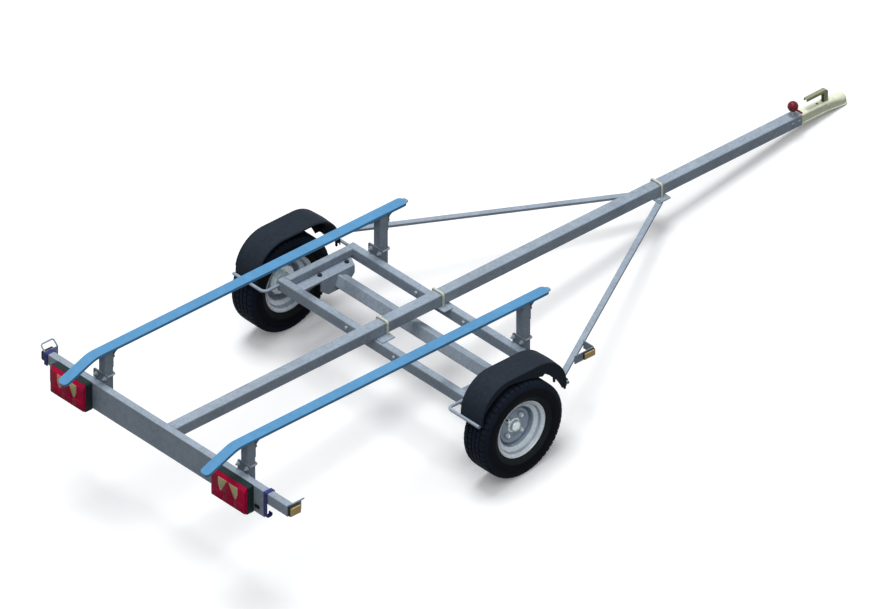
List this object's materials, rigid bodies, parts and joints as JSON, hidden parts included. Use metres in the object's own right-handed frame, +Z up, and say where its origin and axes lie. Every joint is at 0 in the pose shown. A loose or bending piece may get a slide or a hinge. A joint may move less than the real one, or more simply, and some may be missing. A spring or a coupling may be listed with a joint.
{
  "type": "boat trailer",
  "caption": "Two-wheel unbraked dinghy trailer with a central drawbar, cross members on a torsion axle, blue bunk rails on posts, mudguards, a rear light board and a ball coupling.",
  "frame": {"origin": "centre of the bounding box's underside, on the ground the wheels and the coupling rest on", "axes": "+X forwards to the coupling, +Y to the trailer's left, +Z up"},
  "size_m": [4.3394, 1.7536, 0.8134],
  "materials": {
    "board_sheet": "satin",
    "bunk_blue": "satin",
    "coupling_zinc": "satin",
    "galvanised": "satin",
    "guard_black": "satin",
    "hook_blue": "satin",
    "knob_red": "gloss",
    "lamp_black": "satin",
    "lamp_red": "gloss",
    "lever_zinc": "satin",
    "marker_amber": "gloss",
    "tyre_rubber": "matte",
    "wheel_silver": "satin",
    "zinc_fixings": "satin"
  },
  "bodies": {
    "trailer": {"axle_bracket_left": "galvanised", "axle_bracket_right": "galvanised", "axle_tube": "galvanised", "board_hooks": "hook_blue", "bunk_brackets": "galvanised", "bunk_left": "bunk_blue", "bunk_right": "bunk_blue", "coupling_head": "coupling_zinc", "coupling_latch": "lever_zinc", "coupling_lever": "lever_zinc", "coupling_pin": "zinc_fixings", "drawbar": "galvanised", "drawbar_knob": "knob_red", "drawbar_saddles": "galvanised", "drawbar_ubolts": "zinc_fixings", "end_reflectors": "marker_amber", "front_cross_member": "galvanised", "front_post_left": "galvanised", "front_post_right": "galvanised", "knob_stem": "zinc_fixings", "lamp_housing_left": "lamp_black", "lamp_housing_right": "lamp_black", "lamp_lens_left": "lamp_red", "lamp_lens_right": "lamp_red", "lashing_loops": "galvanised", "light_board": "board_sheet", "marker_brackets": "galvanised", "marker_reflectors": "marker_amber", "mudguard_left": "guard_black", "mudguard_right": "guard_black", "mudguard_stays_left": "galvanised", "mudguard_stays_right": "galvanised", "post_lugs": "galvanised", "post_ubolts": "zinc_fixings", "rear_beam": "galvanised", "rear_cross_member": "galvanised", "rear_post_left": "galvanised", "rear_post_right": "galvanised", "reflector_housings": "lamp_black", "side_member_left": "galvanised", "side_member_right": "galvanised", "strut_left": "galvanised", "strut_right": "galvanised", "swing_arm_left": "galvanised", "swing_arm_right": "galvanised"},
    "wheel_left": {"hub_left": "galvanised", "rim_left": "wheel_silver", "tyre_left": "tyre_rubber"},
    "wheel_right": {"hub_right": "galvanised", "rim_right": "wheel_silver", "tyre_right": "tyre_rubber"}
  },
  "joints": [
    {"name": "wheel_left_spin", "type": "hinge", "parent": "trailer", "child": "wheel_left", "pos_m": [-0.61648, 0.799, 0.245], "axis": [0, 1, 0], "continuous": true},
    {"name": "wheel_right_spin", "type": "hinge", "parent": "trailer", "child": "wheel_right", "pos_m": [-0.61648, -0.799, 0.245], "axis": [0, 1, 0], "continuous": true}
  ]
}
